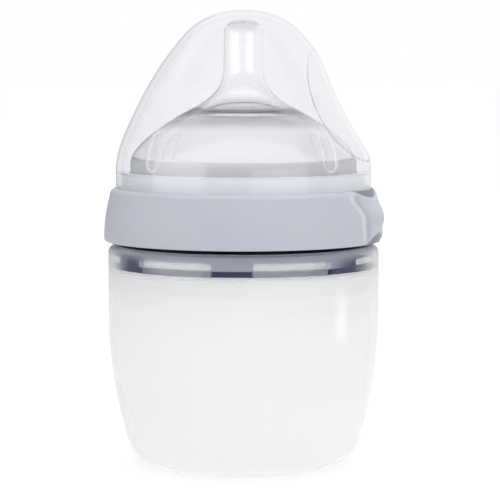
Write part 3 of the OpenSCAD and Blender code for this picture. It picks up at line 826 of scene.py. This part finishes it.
def addSeenRays(tree, rays):
    seen = addNode(tree, "ShaderNodeMath", settings=larger,
                   links={0: rays.outputs["Is Camera Ray"], 1: rays.outputs["Is Glossy Ray"]})
    return addNode(tree, "ShaderNodeMath", settings=larger,
                   links={0: seen.outputs[0], 1: rays.outputs["Is Transmission Ray"]})


def makeFloor():
    bpy.ops.mesh.primitive_plane_add(size=studio["floorSize"])
    floor = bpy.context.object
    floor.name = "studioFloor"
    material, tree = newMaterial("studio floor, matt white")
    rays = addNode(tree, "ShaderNodeLightPath")
    seen = addSeenRays(tree, rays)
    where = addNode(tree, "ShaderNodeTexCoord")
    away = addNode(tree, "ShaderNodeVectorMath", settings={"operation": "LENGTH"},
                   links={0: where.outputs["Object"]})
    level = addNode(tree, "ShaderNodeMapRange", settings=smooth,
                    values={"From Min": studio["glowFrom"], "From Max": studio["glowTo"],
                            "To Min": studio["nearGlow"], "To Max": studio["farGlow"]},
                    links={"Value": away.outputs["Value"]})
    matt = addNode(tree, "ShaderNodeBsdfDiffuse", values={"Color": hexToLinear(studio["floor"])})
    glow = addNode(tree, "ShaderNodeEmission", links={"Strength": level.outputs["Result"]})
    bounce = addNode(tree, "ShaderNodeEmission", values={"Strength": studio["bounce"]})
    pick = addNode(tree, "ShaderNodeMixShader",
                   links={"Fac": seen.outputs[0], 1: bounce.outputs["Emission"], 2: glow.outputs["Emission"]})
    both = addNode(tree, "ShaderNodeAddShader", links={0: matt.outputs["BSDF"], 1: pick.outputs["Shader"]})
    addNode(tree, "ShaderNodeOutputMaterial", links={"Surface": both.outputs["Shader"]})
    floor.data.materials.append(material)


def makeWorld():
    world = bpy.data.worlds.new("studioWorld")
    bpy.context.scene.world = world
    world.use_nodes = True
    tree = world.node_tree
    tree.nodes.clear()
    rays = addNode(tree, "ShaderNodeLightPath")
    seen = addSeenRays(tree, rays)
    room = addNode(tree, "ShaderNodeBackground", values={"Color": (1, 1, 1, 1), "Strength": studio["world"]})
    where = addNode(tree, "ShaderNodeTexCoord")
    split = addNode(tree, "ShaderNodeSeparateXYZ", links={"Vector": where.outputs["Generated"]})
    ceiling = addNode(tree, "ShaderNodeMapRange", settings=smooth,
                      values={"From Min": studio["ceilingFrom"], "From Max": studio["ceilingTo"],
                              "To Min": 1.0, "To Max": studio["ceiling"]},
                      links={"Value": split.outputs["Z"]})
    level = addNode(tree, "ShaderNodeMath", settings=larger,
                    links={0: rays.outputs["Is Camera Ray"], 1: ceiling.outputs["Result"]})
    white = addNode(tree, "ShaderNodeBackground", values={"Color": (1, 1, 1, 1)},
                    links={"Strength": level.outputs[0]})
    mix = addNode(tree, "ShaderNodeMixShader",
                  links={"Fac": seen.outputs[0], 1: room.outputs["Background"],
                         2: white.outputs["Background"]})
    addNode(tree, "ShaderNodeOutputWorld", links={"Surface": mix.outputs["Shader"]})


# Stands a lamp or card round the bottle, facing it. The azimuth is in degrees to the right of the camera.
def standRound(thing, azimuth, elevation, distance):
    a, e = math.radians(view["azimuth"] + azimuth), math.radians(elevation)
    thing.location = (distance * math.cos(e) * math.sin(a), -distance * math.cos(e) * math.cos(a),
                      studio["aimHeight"] + distance * math.sin(e))
    thing.rotation_euler = (math.pi / 2 - e, 0, a)


# A body lamp lights matt surfaces only, and a gloss lamp shows only in gloss and glass
def softBox(name, azimuth, elevation, distance, width, height, power, lights):
    lamp = bpy.data.lights.new(name, "AREA")
    lamp.shape, lamp.size, lamp.size_y, lamp.energy = "RECTANGLE", width, height, power
    box = bpy.data.objects.new(name, lamp)
    bpy.context.collection.objects.link(box)
    standRound(box, azimuth, elevation, distance)
    box.visible_camera = False
    box.visible_diffuse = lights == "body"
    box.visible_glossy = box.visible_transmission = lights == "gloss"


# A card seen only in reflections: it draws the pale edges and parts the highlights
def makeFlag(name, azimuth, elevation, distance, width, height, tone):
    bpy.ops.mesh.primitive_plane_add(size=1)
    flag = bpy.context.object
    flag.name = name
    flag.scale = (width, height, 1)
    standRound(flag, azimuth, elevation, distance)
    material, tree = newMaterial("dark card, matt")
    card = addNode(tree, "ShaderNodeEmission", values={"Strength": tone})
    addNode(tree, "ShaderNodeOutputMaterial", links={"Surface": card.outputs["Emission"]})
    flag.data.materials.append(material)
    flag.visible_camera = flag.visible_diffuse = flag.visible_transmission = flag.visible_shadow = False


def makeCamera():
    data = bpy.data.cameras.new("studioCamera")
    data.sensor_width = 36
    data.lens = view["focalPixels"] / view["frame"] * data.sensor_width
    data.clip_start, data.clip_end = 0.01, 20
    camera = bpy.data.objects.new("studioCamera", data)
    bpy.context.collection.objects.link(camera)
    a = math.radians(view["azimuth"])
    pitch = math.atan((view["frame"] / 2 - view["horizonRow"]) / view["focalPixels"])
    camera.location = (view["aside"] * math.cos(a) + view["distance"] * math.sin(a),
                       view["aside"] * math.sin(a) - view["distance"] * math.cos(a), view["height"])
    camera.rotation_euler = (math.pi / 2 - pitch, 0, a)
    bpy.context.scene.camera = camera


makeFloor()
makeWorld()
makeCamera()

# Azimuth and elevation in degrees; distance, width and height in metres; then a tone, or a power in watts
makeFlag("cardBehind", -132, 8, 1.0, 1.5, 1.0, 0.3)
makeFlag("cardRight", 67, 0, 0.6, 0.2, 0.9, 0.1)
makeFlag("cardFront", -14, 5.5, 1.3, 0.8, 0.24, 0.4)
softBox("softBoxFront", -6, 22, 1.2, 1.0, 0.9, 2.8, "body")
softBox("softBoxBack", 165, 30, 1.2, 0.9, 0.9, 5.0, "body")
softBox("softBoxLeft", -60, 3, 1.0, 1.0, 0.5, 4.0, "gloss")
softBox("softBoxBand", 34, 0, 1.0, 1.0, 0.35, 1.8, "gloss")
softBox("softBoxRight", 84, -13.6, 0.25, 0.05, 0.04, 0.031, "gloss")
softBox("softBoxSide", 82, 10, 1.0, 0.6, 0.6, 1.5, "body")
softBox("softBoxTop", 0, 80, 1.0, 1.0, 1.0, 10.5, "body")
bpy.context.scene.view_settings.view_transform = "Standard"
print("studio ready")
